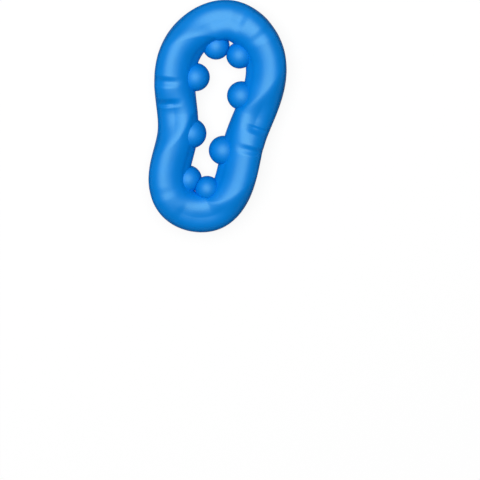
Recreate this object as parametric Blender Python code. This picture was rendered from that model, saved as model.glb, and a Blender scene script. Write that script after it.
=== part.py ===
"""Squeeze ring: a thick elastomer cord closed into a loop, with eight beads on its inner wall.

The ring lies flat and is pinched into a long oval, as two fingers hold it. The cord is cut where
the pinched ring bends, so that it can spring open again. Metres, +Z up, +Y along the oval.
"""
import math

import bmesh
import bpy
import numpy as np
from mathutils import Vector

MM = 0.001

# Centre line of the pinched cord: its length, its width at five heights, and how far the waist
# and the part above it are shifted to the right
LOOP_LENGTH = 70.8 * MM
SHOULDER_WIDTH = 28.1 * MM
UPPER_WIDTH = 30.9 * MM
WAIST_WIDTH = 23.9 * MM
LOWER_WIDTH = 21.6 * MM
END_WIDTH = 13.0 * MM
SHOULDER_BELOW_TOP = 10.1 * MM
UPPER_ABOVE_MIDDLE = 8.0 * MM
WAIST_BELOW_MIDDLE = 8.4 * MM
LOWER_ABOVE_BOTTOM = 8.1 * MM
END_ABOVE_BOTTOM = 1.9 * MM
UPPER_SHIFT = 0.08 * MM
WAIST_SHIFT = 0.65 * MM

# Cord
CORD_DIAMETER = 14.4 * MM
SOLE_DEPTH = 1.0 * MM
CLOSING_CUT = 0.375
TOP_FLEX_INSET = 3.0 * MM

# Relief, four times round the loop: a collar of two grooves, then a lobe with a full outer shoulder
# and a planed inner slope, then a hollow that begins at a slanting ridge and ends at the next
# collar. Leans are angles round the cord from the crest of a face, negative outwards and positive
# inwards, each with its fade. Collars and ridge ends are shares of the loop, places of a repeat
COLLARS = (0.015, 0.258, 0.525, 0.762)
RIDGE_ENDS = (0.2326, 0.465, 0.7355, 0.959)
RIDGE_END = 0.84
SHOULDER_RISE = 0.85 * MM
SHOULDER_OUTER = (math.radians(-92), math.radians(40))
SHOULDER_INNER = (math.radians(-8), math.radians(44))
SLOPE_DEPTH = 1.15 * MM
SLOPE_WAVE = 0.35 * MM
SLOPE_PLACE = 0.42
SLOPE_OUTER = (math.radians(-38), math.radians(75))
SLOPE_INNER = (math.radians(92), math.radians(40))
HOLLOW_DEPTH = 2.4 * MM
HOLLOW_OUTER = (math.radians(-92), math.radians(60))
HOLLOW_INNER = (math.radians(75), math.radians(90))
HOLLOW_BEGIN = 0.44
HOLLOW_BEGIN_LEAN = math.radians(-50)
HOLLOW_SLANT = 0.24
HOLLOW_DEEPEST = 0.86
HOLLOW_LEAST_RUN = 0.05
HOLLOW_END = 1.20
GROOVE_DEPTH = 0.5 * MM
GROOVE_WIDTH = 2.6 * MM
GROOVE_SPACING = 8.3 * MM
GROOVE_OUTER = (math.radians(-88), math.radians(45))
GROOVE_INNER = (math.radians(34), math.radians(60))

# Beads: the station as a share of the loop, clockwise from the top, the diameter, and the rise
# above the inner wall. The pinch squeezes them narrow at the ends and spreads them at the sides
BEADS = {
    "top_right_bead": (0.081, 9.6 * MM, 5.7 * MM),
    "upper_right_bead": (0.206, 10.4 * MM, 4.8 * MM),
    "lower_right_bead": (0.3225, 10.6 * MM, 4.4 * MM),
    "bottom_right_bead": (0.4265, 8.4 * MM, 5.2 * MM),
    "bottom_left_bead": (0.597, 9.0 * MM, 4.6 * MM),
    "lower_left_bead": (0.697, 10.8 * MM, 3.0 * MM),
    "upper_left_bead": (0.8165, 10.2 * MM, 5.2 * MM),
    "top_left_bead": (0.9425, 9.8 * MM, 6.1 * MM),
}
BEAD_LIFT = 0.9 * MM
FRONT_BEADS = ("bottom_right_bead",)
BACK_BEADS = ("top_left_bead", "bottom_left_bead")

CLEARANCE = 0.3 * MM

# Faceting
CORD_SIDES = 32
CORD_STEP = 1.8 * MM
CREASE_ANGLE = math.radians(50)
BEAD_SEGMENTS = 18
BEAD_RINGS = 10
LOOP_SAMPLES = 720
SPLINE_SAMPLES = 200
SEAT_SAMPLES = 24

BLUE = (0.0, 0.19, 0.69, 1.0)
SATIN = 0.38

CORD_RADIUS = CORD_DIAMETER / 2
CORD_HEIGHT = CORD_RADIUS - SOLE_DEPTH


def clear_scene():
    """Remove every object that the file holds."""
    for obj in list(bpy.data.objects):
        bpy.data.objects.remove(obj, do_unlink=True)


def collection(name):
    """A new collection under the scene."""
    made = bpy.data.collections.new(name)
    bpy.context.scene.collection.children.link(made)
    return made


def silicone(name):
    """Satin blue silicone."""
    material = bpy.data.materials.new(name)
    material.use_nodes = True
    shader = material.node_tree.nodes["Principled BSDF"]
    shader.inputs["Base Color"].default_value = BLUE
    shader.inputs["Roughness"].default_value = SATIN
    shader.inputs["Metallic"].default_value = 0.0
    material.diffuse_color = BLUE
    return material


def loop_points():
    """The twelve points that shape the oval, clockwise from the top."""
    half = LOOP_LENGTH / 2
    spans = [
        (SHOULDER_WIDTH, 0.0, half - SHOULDER_BELOW_TOP),
        (UPPER_WIDTH, UPPER_SHIFT, UPPER_ABOVE_MIDDLE),
        (WAIST_WIDTH, WAIST_SHIFT, -WAIST_BELOW_MIDDLE),
        (LOWER_WIDTH, 0.0, LOWER_ABOVE_BOTTOM - half),
        (END_WIDTH, 0.0, END_ABOVE_BOTTOM - half),
    ]
    right = [(shift + width / 2, height) for width, shift, height in spans]
    left = [(shift - width / 2, height) for width, shift, height in reversed(spans)]
    return np.array([(0.0, half), *right, (0.0, -half), *left])


def closed_spline(points, samples):
    """Evenly spaced samples of the periodic cubic spline through the points."""
    count = len(points)
    ahead = np.roll(points, -1, axis=0)
    gaps = np.linalg.norm(ahead - points, axis=1)
    slopes = (ahead - points) / gaps[:, None]
    system = np.zeros((count, count))
    for i in range(count):
        system[i, i - 1] = gaps[i - 1]
        system[i, i] = 2 * (gaps[i - 1] + gaps[i])
        system[i, (i + 1) % count] = gaps[i]
    bends = np.linalg.solve(system, 6 * (slopes - np.roll(slopes, 1, axis=0)))

    def piece(i, share):
        step, bend, after = gaps[i], bends[i], bends[(i + 1) % count]
        t = (share * step)[:, None]
        first = slopes[i] - step * (2 * bend + after) / 6
        return points[i] + first * t + bend * t**2 / 2 + (after - bend) * t**3 / (6 * step)

    shares = np.linspace(0, 1, SPLINE_SAMPLES, endpoint=False)
    fine = np.vstack([piece(i, shares) for i in range(count)])
    fine = np.vstack([fine, fine[:1]])
    along = np.concatenate([[0], np.cumsum(np.linalg.norm(np.diff(fine, axis=0), axis=1))])
    even = np.linspace(0, along[-1], samples + 1)
    return np.column_stack([np.interp(even, along, fine[:, k]) for k in range(2)]), along[-1]


LOOP, LOOP_PERIMETER = closed_spline(loop_points(), LOOP_SAMPLES)


def loop_point(station):
    """Centre-line point at a share of the loop, seen from above."""
    place = (station % 1.0) * LOOP_SAMPLES
    low = int(place)
    return LOOP[low] + (LOOP[low + 1] - LOOP[low]) * (place - low)


def loop_at(station):
    """Centre-line point and inward direction at a share of the loop."""
    x, y = loop_point(station)
    step = 1 / LOOP_SAMPLES
    across, ahead = loop_point(station + step) - loop_point(station - step)
    return Vector((x, y, CORD_HEIGHT)), Vector((ahead, -across, 0.0)).normalized()


def side_stations(height):
    """Shares of the loop where its right and its left side pass a height above its middle."""
    below = np.flatnonzero(LOOP[:, 1] < height)
    stations = []
    for low in (below[0] - 1, below[-1]):
        start, end = LOOP[low, 1], LOOP[low + 1, 1]
        stations.append((low + (height - start) / (end - start)) / LOOP_SAMPLES)
    return stations


# Cuts and flex points: the flex points are the corners of a rhombus close to the centre line
TOP = 0.0
BOTTOM = float(np.argmin(LOOP[:, 1])) / LOOP_SAMPLES
FLEX_HEIGHT = -TOP_FLEX_INSET / 2
RIGHT, LEFT = side_stations(FLEX_HEIGHT)
FLEX_REACH = float(loop_point(RIGHT)[0] - loop_point(LEFT)[0]) / 2
TOP_FLEX = (0.0, LOOP_LENGTH / 2 - TOP_FLEX_INSET)
RIGHT_FLEX = (FLEX_REACH, FLEX_HEIGHT)
BOTTOM_FLEX = (0.0, -LOOP_LENGTH / 2)
LEFT_FLEX = (-FLEX_REACH, FLEX_HEIGHT)

# Body: the stations that its cord runs between, its flex point, and its beads
BODIES = {
    "upper_left": (LEFT, 1.0, None, ("upper_left_bead", "top_left_bead")),
    "upper_right": (TOP, RIGHT, TOP_FLEX, ("top_right_bead", "upper_right_bead")),
    "lower_left": (BOTTOM, LEFT, LEFT_FLEX, ("bottom_left_bead", "lower_left_bead")),
    "lower_right": (RIGHT, CLOSING_CUT, RIGHT_FLEX, ("lower_right_bead",)),
    "bottom_right": (CLOSING_CUT, BOTTOM, BOTTOM_FLEX, ("bottom_right_bead",)),
}


def smooth(value):
    """Rise from 0 to 1 with level ends."""
    t = min(max(value, 0.0), 1.0)
    return t * t * (3 - 2 * t)


def place_in_repeat(station):
    """Share of a repeat at a station, stretched so that collars and ridges fall where they lie."""
    marks, shares = [], []
    for count, (collar, ridge_end) in enumerate(zip(COLLARS, RIDGE_ENDS)):
        marks += [collar, ridge_end]
        shares += [count, count + RIDGE_END]
    first = COLLARS[0]
    turn = (station - first) % 1.0 + first
    return float(np.interp(turn, [*marks, first + 1], [*shares, len(COLLARS)])) % 1.0


def between(lean, outer, inner):
    """1 between an outer and an inner lean, with a fade at each."""
    return smooth((lean - outer[0]) / outer[1]) * smooth((inner[0] - lean) / inner[1])


def lobe_depth(place, lean):
    """Relief of a lobe: its planed slope, less its full shoulder."""
    slope = SLOPE_DEPTH + SLOPE_WAVE * math.cos(math.tau * (place - SLOPE_PLACE))
    shoulder = SHOULDER_RISE * between(lean, SHOULDER_OUTER, SHOULDER_INNER)
    return slope * between(lean, SLOPE_OUTER, SLOPE_INNER) - shoulder


def hollow_share(place, lean):
    """How far the section has gone from the lobe to the hollow."""
    ahead = place + 1 if place < HOLLOW_END - 1 else place
    begin = HOLLOW_BEGIN + HOLLOW_SLANT * (lean - HOLLOW_BEGIN_LEAN)
    begin = min(begin, HOLLOW_DEEPEST - HOLLOW_LEAST_RUN)
    fall = smooth((ahead - begin) / (HOLLOW_DEEPEST - begin))
    return fall * smooth((HOLLOW_END - ahead) / (HOLLOW_END - HOLLOW_DEEPEST))


def groove_share(place):
    """How far a place lies into one of the collar's two grooves."""
    pitch = LOOP_PERIMETER / len(COLLARS)
    groove = 0.0
    for centre in (0.0, GROOVE_SPACING):
        off = (place * pitch - centre + pitch / 2) % pitch - pitch / 2
        groove += smooth(1 - abs(off) / GROOVE_WIDTH)
    return groove


def relief(station, lean):
    """How far the surface lies below the round cord, at a share of the loop and a lean."""
    place = place_in_repeat(station)
    share = hollow_share(place, lean)
    hollow = HOLLOW_DEPTH * between(lean, HOLLOW_OUTER, HOLLOW_INNER)
    groove = GROOVE_DEPTH * groove_share(place) * between(lean, GROOVE_OUTER, GROOVE_INNER)
    return lobe_depth(place, lean) * (1 - share) + hollow * share + groove


def section(station):
    """One ring of the cord's surface, flat where it rests."""
    centre, inward = loop_at(station)
    ring = []
    for k in range(CORD_SIDES):
        angle = math.tau * k / CORD_SIDES
        lean = math.atan2(math.cos(angle), abs(math.sin(angle)))
        radius = CORD_RADIUS - relief(station, lean)
        point = centre + inward * (radius * math.cos(angle))
        point.z = max(point.z + radius * math.sin(angle), 0.0)
        ring.append(point)
    return ring


def cord_mesh(name, start, end):
    """Loft of the cord between two stations, with flat ends and half a clearance at each.

    The faces are triangles whose long edges follow the slant of the ridges, on both sides.
    """
    gap = CLEARANCE / 2 / LOOP_PERIMETER
    steps = math.ceil((end - start) * LOOP_PERIMETER / CORD_STEP)
    mesh = bmesh.new()
    rings = [
        [mesh.verts.new(point) for point in section(station)]
        for station in np.linspace(start + gap, end - gap, steps + 1)
    ]
    for near, far in zip(rings, rings[1:]):
        for k in range(CORD_SIDES):
            after = (k + 1) % CORD_SIDES
            corners = [near[k], near[after], far[after], far[k]]
            if k >= CORD_SIDES // 2:
                corners = corners[1:] + corners[:1]
            mesh.faces.new((corners[0], corners[1], corners[3]))
            mesh.faces.new((corners[1], corners[2], corners[3]))
    mesh.faces.new(rings[0])
    mesh.faces.new(rings[-1])
    bmesh.ops.recalc_face_normals(mesh, faces=mesh.faces)
    data = bpy.data.meshes.new(name)
    mesh.to_mesh(data)
    mesh.free()
    data.shade_smooth()
    data.set_sharp_from_angle(angle=CREASE_ANGLE)
    return data


def bead_centre(name):
    """Centre of a bead: by the inner wall, a little forward or back at the crowded ends."""
    station, diameter, rise = BEADS[name]
    centre, inward = loop_at(station)
    offset = CORD_RADIUS + rise - diameter / 2
    lift = BEAD_LIFT * ((name in FRONT_BEADS) - (name in BACK_BEADS))
    return centre + inward * math.sqrt(offset**2 - lift**2) + Vector((0.0, 0.0, lift))


def bead_ball(name, node, clearance):
    """A bead, grown by a clearance, as a mesh in the part's own frame."""
    mesh = bmesh.new()
    radius = BEADS[name][1] / 2 + clearance
    bmesh.ops.create_uvsphere(mesh, u_segments=BEAD_SEGMENTS, v_segments=BEAD_RINGS, radius=radius)
    bmesh.ops.translate(mesh, verts=mesh.verts, vec=bead_centre(name))
    data = bpy.data.meshes.new(node)
    mesh.to_mesh(data)
    mesh.free()
    data.shade_smooth()
    return data


def press_flat(data, name, other):
    """Flatten a bead where it presses against another one."""
    centre, towards = bead_centre(name), bead_centre(other) - bead_centre(name)
    away, distance = towards.normalized(), towards.length
    radius, facing = BEADS[name][1] / 2, BEADS[other][1] / 2
    reach = (distance**2 + radius**2 - facing**2) / (2 * distance) - CLEARANCE / 2
    if reach >= radius:
        return
    mesh = bmesh.new()
    mesh.from_mesh(data)
    cut = bmesh.ops.bisect_plane(
        mesh,
        geom=mesh.verts[:] + mesh.edges[:] + mesh.faces[:],
        plane_co=centre + away * reach,
        plane_no=away,
        clear_outer=True,
    )
    rim = [item for item in cut["geom_cut"] if isinstance(item, bmesh.types.BMEdge)]
    bmesh.ops.holes_fill(mesh, edges=rim, sides=0)
    mesh.to_mesh(data)
    mesh.free()


def place(data, home, parent, material):
    """Put a mesh made in the part's frame into the scene, under the empty that moves it."""
    obj = bpy.data.objects.new(data.name, data)
    data.materials.append(material)
    obj.parent = parent
    obj.location = -parent.location
    home.objects.link(obj)
    return obj


def seat_cutter(name, home):
    """Ball that cuts a bead's seat into the cord."""
    data = bead_ball(name, name + "_seat", CLEARANCE)
    cutter = bpy.data.objects.new(data.name, data)
    cutter.hide_render = True
    cutter.display_type = "WIRE"
    home.objects.link(cutter)
    return cutter


def seats_near(start, end):
    """Beads whose seats reach into the cord between two stations."""
    line = [loop_at(station)[0] for station in np.linspace(start, end, SEAT_SAMPLES)]
    near = []
    for name, (_, diameter, _) in BEADS.items():
        reach = CORD_RADIUS + diameter / 2 + CLEARANCE
        if min((bead_centre(name) - point).length for point in line) < reach:
            near.append(name)
    return near


def build():
    """Make every cord piece and bead under the empty of its body."""
    clear_scene()
    parts = collection("squeeze_ring")
    cutters = collection("cutters")
    cord_material = silicone("cord_silicone")
    bead_material = silicone("bead_silicone")
    seats = {name: seat_cutter(name, cutters) for name in BEADS}
    for body, (start, end, flex, beads) in BODIES.items():
        pivot = bpy.data.objects.new(body, None)
        if flex is not None:
            pivot.location = (*flex, CORD_HEIGHT)
        parts.objects.link(pivot)
        cord = place(cord_mesh(body + "_cord", start, end), parts, pivot, cord_material)
        for name in seats_near(start, end):
            seat = cord.modifiers.new(name + "_seat", "BOOLEAN")
            seat.object = seats[name]
        for name in beads:
            data = bead_ball(name, name, 0.0)
            for other in BEADS:
                if other != name:
                    press_flat(data, name, other)
            place(data, parts, pivot, bead_material)


build()
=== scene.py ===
"""Squeeze ring in satin blue silicone, pinched into a leaning oval, on a pale studio floor.

The cord's skin and the beads are built from formulas round the same centre line as the CAD part.
Lengths are in millimetres until a mesh is made.
"""
import math

import bpy
import numpy as np
from mathutils import Matrix, Vector


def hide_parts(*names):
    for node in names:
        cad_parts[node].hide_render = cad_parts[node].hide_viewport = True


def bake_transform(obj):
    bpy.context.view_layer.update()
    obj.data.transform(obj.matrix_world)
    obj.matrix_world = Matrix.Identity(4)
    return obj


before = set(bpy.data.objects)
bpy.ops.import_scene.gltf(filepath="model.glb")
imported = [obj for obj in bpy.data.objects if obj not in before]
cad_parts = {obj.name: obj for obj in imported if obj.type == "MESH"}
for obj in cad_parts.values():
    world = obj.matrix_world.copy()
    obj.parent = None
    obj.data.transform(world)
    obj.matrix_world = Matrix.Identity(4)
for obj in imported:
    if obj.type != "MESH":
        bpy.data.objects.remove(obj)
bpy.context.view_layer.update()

MM = 0.001

# Centre line of the pinched cord: width, shift to the right and height above the middle
LOOP_LENGTH = 70.8
HALF = LOOP_LENGTH / 2
SPANS = (
    (28.1, 0.0, HALF - 10.1),
    (30.9, 0.08, 8.0),
    (23.9, 0.65, -8.4),
    (21.6, 0.0, 8.1 - HALF),
    (13.0, 0.0, 1.9 - HALF),
)
LOOP_SAMPLES = 2000
SPLINE_SAMPLES = 400

# Cord, with the flat that it rests on
CORD_RADIUS = 7.34
SOLE_DEPTH = 1.14
SOLE_SOFTNESS = 0.3
CORD_HEIGHT = CORD_RADIUS - SOLE_DEPTH

# Relief, four times round the loop: a collar of two grooves, then a lobe with a full outer shoulder
# and a planed inner slope, then a hollow that begins at a slanting ridge and ends at the next
# collar. Leans are angles round the cord from its crest, positive inwards, each with its fade;
# places are shares of a repeat
COLLARS = (0.015, 0.258, 0.525, 0.762)
RIDGE_ENDS = (0.2326, 0.465, 0.7355, 0.959)
RIDGE_END = 0.84
SHOULDER_RISE = 0.85
SHOULDER_OUTER = (math.radians(-92), math.radians(40))
SHOULDER_INNER = (math.radians(4), math.radians(70))
SLOPE_DEPTH = 0.85
SLOPE_WAVE = 0.35
SLOPE_PLACE = 0.42
SLOPE_OUTER = (math.radians(-38), math.radians(75))
SLOPE_INNER = (math.radians(92), math.radians(40))
HOLLOW_DEPTH = 2.4
HOLLOW_OUTER = (math.radians(-98), math.radians(90))
HOLLOW_INNER = (math.radians(75), math.radians(90))
HOLLOW_BEGIN = 0.41
HOLLOW_BEGIN_LEAN = math.radians(-50)
HOLLOW_SLANT = 0.24
HOLLOW_DEEPEST = 0.86
HOLLOW_LEAST_RUN = 0.05
HOLLOW_END = 1.20
GROOVE_DEPTHS = (0.45, 0.8, 0.2, 0.75)
GROOVE_WIDTH = 2.4
GROOVE_SPACING = 8.3
GROOVE_OUTER = (math.radians(-88), math.radians(45))
GROOVE_INNER = (math.radians(34), math.radians(60))

# Beads: station as a share of the loop, diameter, rise above the inner wall, lift
BEADS = {
    "top_right_bead": (0.081, 9.6, 5.7, 0.0),
    "upper_right_bead": (0.206, 10.4, 4.8, 0.0),
    "lower_right_bead": (0.3225, 10.6, 4.4, 0.0),
    "bottom_right_bead": (0.4305, 9.0, 5.1, 0.9),
    "bottom_left_bead": (0.5945, 9.8, 4.5, -0.9),
    "lower_left_bead": (0.697, 10.8, 3.0, 0.0),
    "upper_left_bead": (0.8165, 10.2, 5.2, 0.0),
    "top_left_bead": (0.9425, 9.8, 6.1, -1.2),
}

# How a bead presses on its neighbours, and the root that the cord hides
BEAD_GAP = 0.02
PRESS_ROUND = 0.2
BEAD_FILLET = 0.2
ROOT_TUCK = 2.0
ROOT_DEPTH = 4.2
ROOT_CENTRE = 3.2
ROOT_REACH = 4.0

# Meshes: their density, the search for a bead's surface, and the steps that give normals
CORD_SIDES = 120
CORD_STEP = 0.4
CAP_DISH = 0.2
BEAD_SEGMENTS = 72
BEAD_RINGS = 56
BEAD_BACK_RINGS = 8
BEAD_RIM_ANGLE = math.radians(128)
RAY_LENGTH = 16.0
RAY_STEPS = 22
NEAR_REACH = 17.0
NEAR_STRIDE = 5
CORD_NORMAL_STEP = 0.0001
BEAD_NORMAL_STEP = 0.02

# The four bends of the ring: the two bodies at each, and the zone in plan between them. A bead's
# own zone is as many times longer as its even reach says
BENDS = {
    "top": ("upper_left", "upper_right", ((-8.8, 0.0), (8.8, 0.0))),
    "right": ("upper_right", "lower_right", ((0.0, 17.7), (0.0, -19.9))),
    "bottom": ("lower_left", "bottom_right", ((-4.5, 0.0), (5.0, 0.0))),
    "left": ("upper_left", "lower_left", ((0.0, 17.7), (0.0, -20.1))),
}
EVEN_REACH = 20

# Pieces at each bend: where its skin starts and ends, as shares of the loop, and its beads. A slit
# parts the two skins at the closing cut
TOP_RIGHT_SEAM, BOTTOM_RIGHT_SEAM = 0.145, 0.375
BOTTOM_LEFT_SEAM, TOP_LEFT_SEAM = 0.625, 0.855
CLOSING_SLIT = 0.0001
SKINS = {
    "top": (TOP_LEFT_SEAM - 1, TOP_RIGHT_SEAM),
    "right": (TOP_RIGHT_SEAM, BOTTOM_RIGHT_SEAM),
    "bottom": (BOTTOM_RIGHT_SEAM + CLOSING_SLIT, BOTTOM_LEFT_SEAM),
    "left": (BOTTOM_LEFT_SEAM, TOP_LEFT_SEAM),
}
BEADS_AT = {
    "top": ("top_right_bead", "top_left_bead"),
    "right": ("upper_right_bead", "lower_right_bead"),
    "left": ("upper_left_bead", "lower_left_bead"),
    "bottom": ("bottom_right_bead", "bottom_left_bead"),
}

# Silicone: its blues, its gloss from face-on to grazing, and its mottle and grain, whose scales are
# per metre and whose height is in metres
DEEP_BLUE = (0.0, 0.190, 0.635, 1.0)
PALE_BLUE = (0.0, 0.202, 0.675, 1.0)
CORD_ROUGHNESS = 0.40
BEAD_ROUGHNESS = 0.50
ROUGHNESS_SPREAD = 0.07
SILICONE_IOR = 1.45
GLOSS_TINT = (0.5, 1.0, 0.8, 1.0)
GLOSS_FACE_ON, GLOSS_GRAZING = 0.95, 0.02
GLOSS_FADE = 0.45
MOTTLE_SCALE, MOTTLE_DETAIL = 160.0, 3.0
MOTTLE_LOW, MOTTLE_HIGH = 0.3, 0.7
GRAIN_SCALE, GRAIN_DETAIL = 1800.0, 2.0
GRAIN_STRENGTH = 0.15
GRAIN_HEIGHT = 0.00004

# Floor, in metres: its shade in the picture and in the light that it throws back, and how much of
# the picture's floor is plain white
FLOOR_HALF = 3.0
FLOOR_SHADE, FLOOR_BOUNCE = 0.9, 0.1
FLOOR_WHITE = 0.88

# Light, in metres and watts: a round soft box, turned away from straight above
BOX_SIZE = 1.1
BOX_ENERGY = 13.2
BOX_DISTANCE = 0.9
BOX_TO_TOP = math.radians(12)
BOX_TO_LEFT = math.radians(7)
SURROUNDINGS = (0.006, 0.006, 0.006, 1.0)

# Camera: the picture's frame and the ring's middle in it, in pixels, the lean of the oval in the
# picture, the tilt of the view, and the lens
FRAME_PX = 480
MM_PER_PX = 0.36
RING_PX = (212.8, 116.6)
LEAN = math.radians(10.63)
TILT = math.radians(10)
LENS, SENSOR = 300.0, 36.0
CLIP_NEAR, CLIP_FAR = 0.05, 20.0
UP = Vector((-math.sin(LEAN), math.cos(LEAN), 0.0))
RIGHT = Vector((math.cos(LEAN), math.sin(LEAN), 0.0))


def smooth(value):
    """Rise from 0 to 1 with level ends."""
    t = np.clip(value, 0.0, 1.0)
    return t * t * (3 - 2 * t)


def soft_least(a, b, reach):
    """The lesser of two distances, rounded where they meet."""
    share = np.maximum(reach - np.abs(a - b), 0.0) / reach
    return np.minimum(a, b) - share**2 * reach / 4


def closed_spline(points):
    """Even samples of the periodic cubic spline through the points, and its length."""
    count = len(points)
    ahead = np.roll(points, -1, axis=0)
    gaps = np.linalg.norm(ahead - points, axis=1)
    slopes = (ahead - points) / gaps[:, None]
    system = np.zeros((count, count))
    for i in range(count):
        system[i, i - 1] = gaps[i - 1]
        system[i, i] = 2 * (gaps[i - 1] + gaps[i])
        system[i, (i + 1) % count] = gaps[i]
    curves = np.linalg.solve(system, 6 * (slopes - np.roll(slopes, 1, axis=0)))
    shares = np.linspace(0, 1, SPLINE_SAMPLES, endpoint=False)[:, None]
    pieces = []
    for i in range(count):
        step, curve, after = gaps[i], curves[i], curves[(i + 1) % count]
        t = shares * step
        first = slopes[i] - step * (2 * curve + after) / 6
        pieces.append(points[i] + first * t + curve * t**2 / 2 + (after - curve) * t**3 / (6 * step))
    fine = np.vstack([*pieces, points[:1]])
    along = np.concatenate([[0], np.cumsum(np.linalg.norm(np.diff(fine, axis=0), axis=1))])
    even = np.linspace(0, along[-1], LOOP_SAMPLES, endpoint=False)
    return np.column_stack([np.interp(even, along, fine[:, k]) for k in range(2)]), along[-1]


def loop_points():
    """The points that shape the oval, clockwise from the top."""
    right = [(shift + width / 2, height) for width, shift, height in SPANS]
    left = [(shift - width / 2, height) for width, shift, height in reversed(SPANS)]
    return np.array([(0.0, HALF), *right, (0.0, -HALF), *left])


LINE, PERIMETER = closed_spline(loop_points())
TANGENT = np.roll(LINE, -1, axis=0) - np.roll(LINE, 1, axis=0)
TANGENT /= np.linalg.norm(TANGENT, axis=1)[:, None]
STATIONS = np.arange(LOOP_SAMPLES) / LOOP_SAMPLES


def around(values, station):
    """Interpolate a row of the loop's samples at stations."""
    return np.stack([np.interp(station, STATIONS, values[:, k], period=1.0) for k in range(2)], -1)


def loop_at(station):
    """Centre-line points and inward directions at stations."""
    ahead = around(TANGENT, station)
    ahead /= np.linalg.norm(ahead, axis=-1, keepdims=True)
    return around(LINE, station), np.stack([ahead[..., 1], -ahead[..., 0]], -1)


def repeats_to(station):
    """Repeats from the first collar to stations, stretched to put collars and ridges in place."""
    marks = np.ravel(np.column_stack([COLLARS, RIDGE_ENDS]))
    shares = np.ravel([(k, k + RIDGE_END) for k in range(len(COLLARS))])
    first = COLLARS[0]
    turn = (station - first) % 1 + first
    return np.interp(turn, (*marks, first + 1), (*shares, len(COLLARS)))


def between(lean, outer, inner):
    """1 between an outer and an inner lean, with a fade at each."""
    return smooth((lean - outer[0]) / outer[1]) * smooth((inner[0] - lean) / inner[1])


def lobe_depth(place, lean):
    """Depth of the lobe: the planed slope less the shoulder's rise."""
    slope = SLOPE_DEPTH + SLOPE_WAVE * np.cos(math.tau * (place - SLOPE_PLACE))
    lobe = slope * between(lean, SLOPE_OUTER, SLOPE_INNER)
    return lobe - SHOULDER_RISE * between(lean, SHOULDER_OUTER, SHOULDER_INNER)


def hollow_share(place, lean):
    """How much of the surface is hollow rather than lobe, from 0 to 1."""
    ahead = np.where(place < HOLLOW_END - 1, place + 1, place)
    begin = HOLLOW_BEGIN + HOLLOW_SLANT * (lean - HOLLOW_BEGIN_LEAN)
    begin = np.minimum(begin, HOLLOW_DEEPEST - HOLLOW_LEAST_RUN)
    share = smooth((ahead - begin) / (HOLLOW_DEEPEST - begin))
    return share * smooth((HOLLOW_END - ahead) / (HOLLOW_END - HOLLOW_DEEPEST))


def groove_depth(repeats, lean):
    """Depth of the two grooves of each collar."""
    pitch = PERIMETER / len(COLLARS)
    groove = 0.0
    for centre in (0.0, GROOVE_SPACING):
        collar = np.round(repeats - centre / pitch)
        off = (repeats - collar) * pitch - centre
        depth = np.take(GROOVE_DEPTHS, collar.astype(int) % len(COLLARS))
        groove = groove + depth * smooth(1 - np.abs(off) / GROOVE_WIDTH)
    return groove * between(lean, GROOVE_OUTER, GROOVE_INNER)


def relief(station, lean):
    """How far the surface lies below the round cord, at stations and leans from the crest."""
    repeats = repeats_to(station)
    place = repeats % 1
    share = hollow_share(place, lean)
    hollow = HOLLOW_DEPTH * between(lean, HOLLOW_OUTER, HOLLOW_INNER)
    return lobe_depth(place, lean) * (1 - share) + hollow * share + groove_depth(repeats, lean)


def cord_surface(station, angle):
    """Points of the cord's surface, at stations and at angles from the inward direction."""
    centre, inward = loop_at(station)
    lean = np.arctan2(np.cos(angle), np.abs(np.sin(angle)))
    radius = CORD_RADIUS - relief(station, lean)
    flat = centre + inward * (radius * np.cos(angle))[..., None]
    height = CORD_HEIGHT + radius * np.sin(angle)
    height = (height + np.sqrt(height**2 + SOLE_SOFTNESS**2)) / 2
    return np.concatenate([flat, height[..., None]], -1)


def cord_normals(station, angle):
    """Outward normals of the cord's surface."""
    step = CORD_NORMAL_STEP
    ahead = cord_surface(station + step, angle) - cord_surface(station - step, angle)
    across = cord_surface(station, angle + step) - cord_surface(station, angle - step)
    normal = np.cross(ahead, across)
    return normal / np.linalg.norm(normal, axis=-1, keepdims=True)


def new_piece(name, points, faces, normals):
    """A smooth mesh object from points in millimetres."""
    data = bpy.data.meshes.new(name)
    data.from_pydata((points * MM).tolist(), [], faces)
    data.validate()
    data.shade_smooth()
    data.normals_split_custom_set_from_vertices(normals.tolist())
    piece = bpy.data.objects.new(name, data)
    bpy.context.scene.collection.objects.link(piece)
    return piece


def tube_faces(rings, sides):
    """Quads between neighbouring rings of points."""
    faces = []
    for ring in range(rings - 1):
        low, high = ring * sides, (ring + 1) * sides
        for k in range(sides):
            after = (k + 1) % sides
            faces.append((low + k, low + after, high + after, high + k))
    return faces


def skin(name, start, end):
    """Closed length of the cord's skin between two stations."""
    rings = math.ceil((end - start) * PERIMETER / CORD_STEP) + 1
    station, angle = np.meshgrid(
        np.linspace(start, end, rings),
        np.arange(CORD_SIDES) * math.tau / CORD_SIDES,
        indexing="ij",
    )
    points = cord_surface(station, angle).reshape(-1, 3)
    normals = cord_normals(station, angle).reshape(-1, 3)
    faces = [tuple(reversed(face)) for face in tube_faces(rings, CORD_SIDES)]
    hubs = []
    for ring, place, towards in ((0, start, 1), (rings - 1, end, -1)):
        rim = range(ring * CORD_SIDES, (ring + 1) * CORD_SIDES)
        centre, inward = loop_at(np.array([place]))
        dish = np.array([-inward[0, 1], inward[0, 0]]) * towards * CAP_DISH
        hub = len(points) + len(hubs)
        hubs.append([*(centre[0] + dish), CORD_HEIGHT])
        for k in range(CORD_SIDES):
            pair = (rim[k], rim[(k + 1) % CORD_SIDES])
            faces.append((hub, *(pair if towards == 1 else reversed(pair))))
    points = np.vstack([points, hubs])
    normals = np.vstack([normals, [[0.0, 0.0, 1.0]] * len(hubs)])
    return new_piece(name, points, faces, normals)


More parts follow.
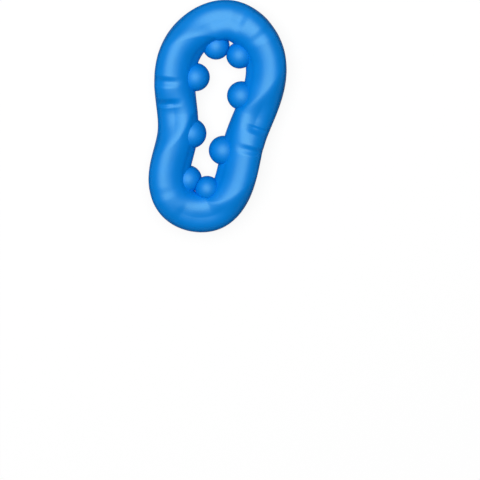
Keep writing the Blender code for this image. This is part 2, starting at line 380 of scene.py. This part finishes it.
def bead_frame(name):
    """A bead's centre, its radius, the centre-line point behind it and the axis between them."""
    station, diameter, rise, lift = BEADS[name]
    middle, inward = loop_at(np.array([station]))
    offset = CORD_RADIUS + rise - diameter / 2
    behind = np.array([*middle[0], CORD_HEIGHT])
    level = math.sqrt(offset**2 - lift**2)
    centre = behind + np.array([*(inward[0] * level), lift])
    axis = (centre - behind) / np.linalg.norm(centre - behind)
    return centre, diameter / 2, behind, axis


def samples_near(point):
    """Every few of the loop's samples that lie near a point."""
    sparse = np.arange(0, LOOP_SAMPLES, NEAR_STRIDE)
    return sparse[np.linalg.norm(LINE[sparse] - point[:2], axis=1) < NEAR_REACH]


def cord_depth(points, samples):
    """How far points lie outside the cord's surface, by the loop's samples near them."""
    gaps = points[:, None, :2] - LINE[samples][None]
    near = samples[np.argmin((gaps**2).sum(2), axis=1)]
    offset = points[:, :2] - LINE[near]
    ahead = TANGENT[near]
    station = STATIONS[near] + (offset * ahead).sum(1) / PERIMETER
    inward = offset[:, 0] * ahead[:, 1] - offset[:, 1] * ahead[:, 0]
    height = points[:, 2] - CORD_HEIGHT
    lean = np.arctan2(inward, np.abs(height))
    return np.hypot(inward, height) - CORD_RADIUS + relief(station, lean)


def bead_flats(name):
    """Where a bead presses on its neighbours: each flat's direction and distance from its centre."""
    centre, radius, _, _ = bead_frame(name)
    flats = []
    for other in BEADS:
        facing, reach, _, _ = bead_frame(other)
        apart = np.linalg.norm(facing - centre)
        if other != name and apart < radius + reach + BEAD_GAP:
            share = (apart**2 + radius**2 - reach**2) / (2 * apart) - BEAD_GAP / 2
            flats.append(((facing - centre) / apart, share))
    return flats


def bead_field(name, root):
    """A function of points that tells how far they lie outside a bead and its root."""
    centre, radius, behind, axis = bead_frame(name)
    samples = samples_near(behind)
    flats = bead_flats(name)

    def outside(points):
        wall = cord_depth(points, samples)
        ball = np.linalg.norm(points - centre, axis=1) - radius
        for away, share in flats:
            ball = -soft_least(-ball, share - (points - centre) @ away, PRESS_ROUND)
        spread = points - root
        spread = np.linalg.norm(spread - np.outer(spread @ axis, axis), axis=1)
        under = np.maximum.reduce([wall + ROOT_TUCK, -wall - ROOT_DEPTH, spread - ROOT_REACH])
        return soft_least(under, ball, BEAD_FILLET)

    return outside


def bead_rays(axis):
    """Directions all round a bead's root: its crown, rings from crown to back, its back."""
    side = np.cross(axis, (0.0, 0.0, 1.0))
    side /= np.linalg.norm(side)
    rise = np.cross(side, axis)
    polar = np.concatenate([
        np.linspace(0, BEAD_RIM_ANGLE, BEAD_RINGS + 1)[1:],
        np.linspace(BEAD_RIM_ANGLE, math.pi, BEAD_BACK_RINGS + 1)[1:-1],
    ])
    turn = np.arange(BEAD_SEGMENTS) * math.tau / BEAD_SEGMENTS
    polar, turn = np.meshgrid(polar, turn, indexing="ij")
    across = np.cos(turn)[..., None] * side + np.sin(turn)[..., None] * rise
    rays = np.cos(polar)[..., None] * axis + np.sin(polar)[..., None] * across
    return np.vstack([[axis], rays.reshape(-1, 3), [-axis]])


def surface_along(rays, root, outside):
    """Points where rays from a root come out of a field, found by halving."""
    low, high = np.zeros(len(rays)), np.full(len(rays), RAY_LENGTH)
    for _ in range(RAY_STEPS):
        middle = (low + high) / 2
        beyond = outside(root + rays * middle[:, None]) > 0
        high = np.where(beyond, middle, high)
        low = np.where(beyond, low, middle)
    return root + rays * ((low + high) / 2)[:, None]


def bead_faces(last):
    """Quads between a bead's rings, and a fan at its crown, point 0, and at its back, the last."""
    rings = (last - 1) // BEAD_SEGMENTS
    faces = [tuple(i + 1 for i in face) for face in tube_faces(rings, BEAD_SEGMENTS)]
    for k in range(BEAD_SEGMENTS):
        after = (k + 1) % BEAD_SEGMENTS
        faces.append((0, 1 + after, 1 + k))
        faces.append((last, last - BEAD_SEGMENTS + k, last - BEAD_SEGMENTS + after))
    return faces


def bead(name):
    """A bead with a flat where it presses on a neighbour, and a root that the skin hides."""
    _, _, behind, axis = bead_frame(name)
    root = behind + axis * (CORD_RADIUS - ROOT_CENTRE)
    outside = bead_field(name, root)
    points = surface_along(bead_rays(axis), root, outside)
    nudges = np.eye(3) * BEAD_NORMAL_STEP
    normals = np.stack([outside(points + nudge) - outside(points - nudge) for nudge in nudges], -1)
    normals /= np.linalg.norm(normals, axis=1)[:, None]
    return new_piece(name + "_skin", points, bead_faces(len(points) - 1), normals)


def silicone(name, roughness):
    """Satin blue silicone with a faint mottle and a fine grain."""
    material = bpy.data.materials.new(name)
    material.use_nodes = True
    nodes, links = material.node_tree.nodes, material.node_tree.links
    shader = nodes["Principled BSDF"]
    shader.inputs["IOR"].default_value = SILICONE_IOR
    shader.inputs["Specular Tint"].default_value = GLOSS_TINT
    facing = nodes.new("ShaderNodeLayerWeight")
    sheen = nodes.new("ShaderNodeMapRange")
    sheen.inputs["From Max"].default_value = GLOSS_FADE
    sheen.inputs["To Min"].default_value = GLOSS_FACE_ON
    sheen.inputs["To Max"].default_value = GLOSS_GRAZING
    links.new(facing.outputs["Facing"], sheen.inputs["Value"])
    links.new(sheen.outputs["Result"], shader.inputs["Specular IOR Level"])
    place = nodes.new("ShaderNodeTexCoord")
    mottle = nodes.new("ShaderNodeTexNoise")
    mottle.inputs["Scale"].default_value = MOTTLE_SCALE
    mottle.inputs["Detail"].default_value = MOTTLE_DETAIL
    links.new(place.outputs["Object"], mottle.inputs["Vector"])
    tint = nodes.new("ShaderNodeValToRGB")
    deep, pale = tint.color_ramp.elements
    deep.position, deep.color = MOTTLE_LOW, DEEP_BLUE
    pale.position, pale.color = MOTTLE_HIGH, PALE_BLUE
    links.new(mottle.outputs["Fac"], tint.inputs["Fac"])
    links.new(tint.outputs["Color"], shader.inputs["Base Color"])
    gloss = nodes.new("ShaderNodeMapRange")
    gloss.inputs["To Min"].default_value = roughness
    gloss.inputs["To Max"].default_value = roughness + ROUGHNESS_SPREAD
    links.new(mottle.outputs["Fac"], gloss.inputs["Value"])
    links.new(gloss.outputs["Result"], shader.inputs["Roughness"])
    grain = nodes.new("ShaderNodeTexNoise")
    grain.inputs["Scale"].default_value = GRAIN_SCALE
    grain.inputs["Detail"].default_value = GRAIN_DETAIL
    links.new(place.outputs["Object"], grain.inputs["Vector"])
    bump = nodes.new("ShaderNodeBump")
    bump.inputs["Strength"].default_value = GRAIN_STRENGTH
    bump.inputs["Distance"].default_value = GRAIN_HEIGHT
    links.new(grain.outputs["Fac"], bump.inputs["Height"])
    links.new(bump.outputs["Normal"], shader.inputs["Normal"])
    return material


def bend(piece, zone):
    """Bake a piece's placement into its mesh; the zone is not used."""
    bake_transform(piece)


def even_zone(name, zone):
    """A long zone in plan through a bead's foot, along a bend's zone and EVEN_REACH times as long.
    """
    _, _, behind, axis = bead_frame(name)
    foot = (behind + axis * CORD_RADIUS)[:2]
    start, end = np.array(zone)
    run = end - start
    share = np.clip((foot - start) @ run / (run @ run), 0.0, 1.0)
    first = foot - run * share * EVEN_REACH
    return first, first + run * EVEN_REACH


def build_skins():
    """The cord's skin, one piece at each bend."""
    material = silicone("cord_silicone", CORD_ROUGHNESS)
    for side, (start, end) in SKINS.items():
        first, second, zone = BENDS[side]
        piece = skin(side + "_skin", start, end)
        piece.data.materials.append(material)
        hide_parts(first + "_cord", second + "_cord")
        bend(piece, zone)


def build_beads():
    """The eight beads, built bend by bend."""
    material = silicone("bead_silicone", BEAD_ROUGHNESS)
    for side, names in BEADS_AT.items():
        first, second, zone = BENDS[side]
        for name in names:
            piece = bead(name)
            piece.data.materials.append(material)
            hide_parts(name)
            bend(piece, even_zone(name, zone))


def math_node(tree, operation, first, second):
    """The result of a math node on a socket and a second socket or number."""
    node = tree.nodes.new("ShaderNodeMath")
    node.operation = operation
    tree.links.new(first, node.inputs[0])
    if isinstance(second, float):
        node.inputs[1].default_value = second
    else:
        tree.links.new(second, node.inputs[1])
    return node.outputs[0]


def floor_paper():
    """Pale paper that keeps shadows and shows nearly white in the picture and in reflections."""
    material = bpy.data.materials.new("floor_paper")
    material.use_nodes = True
    tree = material.node_tree
    nodes, links = tree.nodes, tree.links
    nodes.remove(nodes["Principled BSDF"])
    path = nodes.new("ShaderNodeLightPath")
    shade = nodes.new("ShaderNodeMapRange")
    shade.inputs["To Min"].default_value = FLOOR_BOUNCE
    shade.inputs["To Max"].default_value = FLOOR_SHADE
    links.new(path.outputs["Is Camera Ray"], shade.inputs["Value"])
    paper = nodes.new("ShaderNodeBsdfDiffuse")
    links.new(shade.outputs["Result"], paper.inputs["Color"])
    seen = math_node(tree, "MAXIMUM", path.outputs["Is Camera Ray"], path.outputs["Is Glossy Ray"])
    seen = math_node(tree, "MAXIMUM", seen, path.outputs["Is Transmission Ray"])
    white = nodes.new("ShaderNodeEmission")
    white.inputs["Strength"].default_value = 1.0
    mix = nodes.new("ShaderNodeMixShader")
    links.new(math_node(tree, "MULTIPLY", seen, FLOOR_WHITE), mix.inputs["Fac"])
    links.new(paper.outputs[0], mix.inputs[1])
    links.new(white.outputs[0], mix.inputs[2])
    links.new(mix.outputs[0], nodes["Material Output"].inputs["Surface"])
    return material


def build_floor():
    """A flat, wide floor."""
    data = bpy.data.meshes.new("floor")
    corners = ((-1, -1), (1, -1), (1, 1), (-1, 1))
    data.from_pydata([(x * FLOOR_HALF, y * FLOOR_HALF, 0.0) for x, y in corners], [], [(0, 1, 2, 3)])
    data.materials.append(floor_paper())
    floor = bpy.data.objects.new("floor", data)
    bpy.context.scene.collection.objects.link(floor)


def build_world():
    """Dim, even surroundings."""
    world = bpy.data.worlds.new("studio")
    bpy.context.scene.world = world
    world.use_nodes = True
    world.node_tree.nodes["Background"].inputs["Color"].default_value = SURROUNDINGS


def build_light():
    """One broad soft box in front of the ring, a little towards the top left of the picture."""
    lamp = bpy.data.lights.new("soft_box", "AREA")
    lamp.shape = "DISK"
    lamp.size = BOX_SIZE
    lamp.energy = BOX_ENERGY
    light = bpy.data.objects.new("soft_box", lamp)
    bpy.context.scene.collection.objects.link(light)
    away = Vector((0, 0, 1)) + UP * math.tan(BOX_TO_TOP) - RIGHT * math.tan(BOX_TO_LEFT)
    away.normalize()
    light.location = away * BOX_DISTANCE
    light.rotation_mode = "QUATERNION"
    light.rotation_quaternion = away.to_track_quat("Z", "Y")
    light.visible_camera = False


def build_camera():
    """A long lens at the photo's angle, framed so that the ring falls where the photo has it."""
    data = bpy.data.cameras.new("camera")
    data.lens, data.sensor_width = LENS, SENSOR
    data.clip_start, data.clip_end = CLIP_NEAR, CLIP_FAR
    camera = bpy.data.objects.new("camera", data)
    bpy.context.scene.collection.objects.link(camera)
    back = UP * math.sin(TILT) + Vector((0, 0, math.cos(TILT)))
    rise = UP * math.cos(TILT) - Vector((0, 0, math.sin(TILT)))
    off_right = (FRAME_PX / 2 - RING_PX[0]) * MM_PER_PX * MM
    off_down = (FRAME_PX / 2 - RING_PX[1]) * MM_PER_PX * MM
    aim = Vector((0, 0, CORD_HEIGHT * MM)) + RIGHT * off_right - rise * off_down
    distance = FRAME_PX * MM_PER_PX * MM * LENS / SENSOR
    turn = Matrix((RIGHT, rise, back)).transposed().to_4x4()
    camera.matrix_world = Matrix.Translation(aim + back * distance) @ turn
    bpy.context.scene.camera = camera


build_skins()
build_beads()
build_floor()
build_world()
build_light()
build_camera()
bpy.context.scene.view_settings.view_transform = "Standard"
